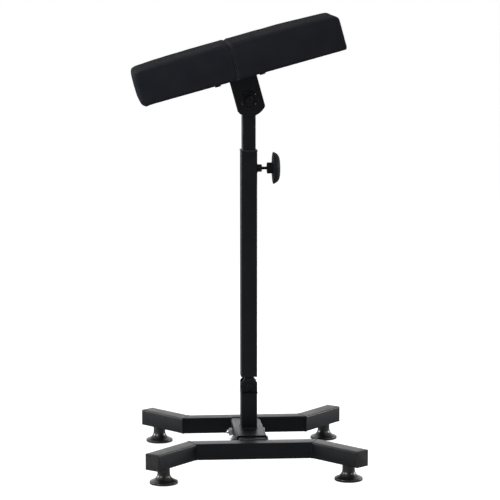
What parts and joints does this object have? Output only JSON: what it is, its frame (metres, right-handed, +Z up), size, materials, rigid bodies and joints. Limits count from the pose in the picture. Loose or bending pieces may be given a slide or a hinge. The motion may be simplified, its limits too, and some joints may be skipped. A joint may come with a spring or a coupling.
{
  "type": "tattoo arm rest stand",
  "caption": "Freestanding arm rest: a tilting padded cushion on a telescoping square column that folds on a low base of splayed legs with screw feet.",
  "frame": {"origin": "on the floor, right below the axis of the column", "axes": "+Z up, +X to the right along the pad, +Y to the back"},
  "size_m": [0.4139, 0.417, 0.8308],
  "materials": {
    "frame_paint": "satin black powder coat",
    "zinc_steel": "bright zinc",
    "black_steel": "blackened steel",
    "cap_plastic": "matte black",
    "foot_plastic": "glossy black",
    "knob_plastic": "semi-gloss black",
    "nylon": "natural nylon",
    "plywood": "raw plywood",
    "foam": "open-cell foam",
    "pad_leather": "black vinyl leatherette with a fine grain",
    "backing_cloth": "black non-woven cloth"
  },
  "bodies": {
    "base": {"front_leg_beam": "frame_paint", "front_left_arm": "frame_paint", "front_right_arm": "frame_paint", "rear_leg_beam": "frame_paint", "rear_left_arm": "frame_paint", "rear_right_arm": "frame_paint", "front_left_cap": "cap_plastic", "front_right_cap": "cap_plastic", "rear_left_cap": "cap_plastic", "rear_right_cap": "cap_plastic", "foot_weld_nuts": "zinc_steel", "cross_tube": "frame_paint", "saddle": "frame_paint", "saddle_bolts": "zinc_steel", "saddle_nuts": "zinc_steel", "post_stub": "frame_paint", "fold_fork": "frame_paint", "fold_bolt": "black_steel", "fold_nut": "black_steel", "fold_washers": "black_steel"},
    "column": {"column_tube": "frame_paint", "fold_tongue": "frame_paint", "column_collar": "cap_plastic", "clamp_boss": "frame_paint"},
    "shoe": {"clamp_shoe": "nylon"},
    "knob": {"clamp_screw": "black_steel", "clamp_knob": "knob_plastic"},
    "mast": {"inner_tube": "frame_paint", "inner_glide": "nylon", "tilt_hubs": "black_steel", "tilt_sleeve": "zinc_steel", "tilt_bolt": "black_steel", "tilt_nut": "black_steel"},
    "pad": {"pad_bracket": "frame_paint", "pad_plate": "frame_paint", "pad_screws": "black_steel", "pad_tee_nuts": "zinc_steel", "pad_board": "plywood", "pad_foam": "foam", "pad_cover": "pad_leather", "pad_backing": "backing_cloth"},
    "front_left_stud": {"front_left_stud": "zinc_steel"},
    "front_left_foot": {"front_left_foot": "foot_plastic"},
    "front_right_stud": {"front_right_stud": "zinc_steel"},
    "front_right_foot": {"front_right_foot": "foot_plastic"},
    "rear_left_stud": {"rear_left_stud": "zinc_steel"},
    "rear_left_foot": {"rear_left_foot": "foot_plastic"},
    "rear_right_stud": {"rear_right_stud": "zinc_steel"},
    "rear_right_foot": {"rear_right_foot": "foot_plastic"}
  },
  "joints": [
    {"name": "column_fold", "type": "hinge", "parent": "base", "child": "column", "pos_m": [0, 0, 0.1405], "axis": [0, 1, 0], "range_deg": [0, 90]},
    {"name": "height_slide", "type": "slide", "parent": "column", "child": "mast", "axis": [0, 0, 1], "range_m": [-0.06, 0.2]},
    {"name": "pad_tilt", "type": "hinge", "parent": "mast", "child": "pad", "pos_m": [0, 0, 0.6769], "axis": [0, -1, 0], "range_deg": [-75, 45]},
    {"name": "clamp_shoe_slide", "type": "slide", "parent": "column", "child": "shoe", "axis": [1, 0, 0], "range_m": [0, 0.002]},
    {"name": "clamp_knob_turn", "type": "hinge", "parent": "shoe", "child": "knob", "pos_m": [0.05, 0, 0.5485], "axis": [1, 0, 0], "range_deg": [0, 720]},
    {"name": "front_left_stud_slide", "type": "slide", "parent": "base", "child": "front_left_stud", "axis": [0, 0, -1], "range_m": [0, 0.01]},
    {"name": "front_left_foot_turn", "type": "hinge", "parent": "front_left_stud", "child": "front_left_foot", "pos_m": [-0.16706, -0.17707, 0], "axis": [0, 0, -1], "range_deg": [0, 2880]},
    {"name": "front_right_stud_slide", "type": "slide", "parent": "base", "child": "front_right_stud", "axis": [0, 0, -1], "range_m": [0, 0.01]},
    {"name": "front_right_foot_turn", "type": "hinge", "parent": "front_right_stud", "child": "front_right_foot", "pos_m": [0.16706, -0.17707, 0], "axis": [0, 0, -1], "range_deg": [0, 2880]},
    {"name": "rear_left_stud_slide", "type": "slide", "parent": "base", "child": "rear_left_stud", "axis": [0, 0, -1], "range_m": [0, 0.01]},
    {"name": "rear_left_foot_turn", "type": "hinge", "parent": "rear_left_stud", "child": "rear_left_foot", "pos_m": [-0.15992, 0.16871, 0], "axis": [0, 0, -1], "range_deg": [0, 2880]},
    {"name": "rear_right_stud_slide", "type": "slide", "parent": "base", "child": "rear_right_stud", "axis": [0, 0, -1], "range_m": [0, 0.01]},
    {"name": "rear_right_foot_turn", "type": "hinge", "parent": "rear_right_stud", "child": "rear_right_foot", "pos_m": [0.15992, 0.16871, 0], "axis": [0, 0, -1], "range_deg": [0, 2880]}
  ],
  "couplings": [
    {"joint": "clamp_knob_turn", "follows": "clamp_shoe_slide", "rad_per_m": 6283.1},
    {"joint": "front_left_foot_turn", "follows": "front_left_stud_slide", "rad_per_m": 5026.5},
    {"joint": "front_right_foot_turn", "follows": "front_right_stud_slide", "rad_per_m": 5026.5},
    {"joint": "rear_left_foot_turn", "follows": "rear_left_stud_slide", "rad_per_m": 5026.5},
    {"joint": "rear_right_foot_turn", "follows": "rear_right_stud_slide", "rad_per_m": 5026.5}
  ]
}
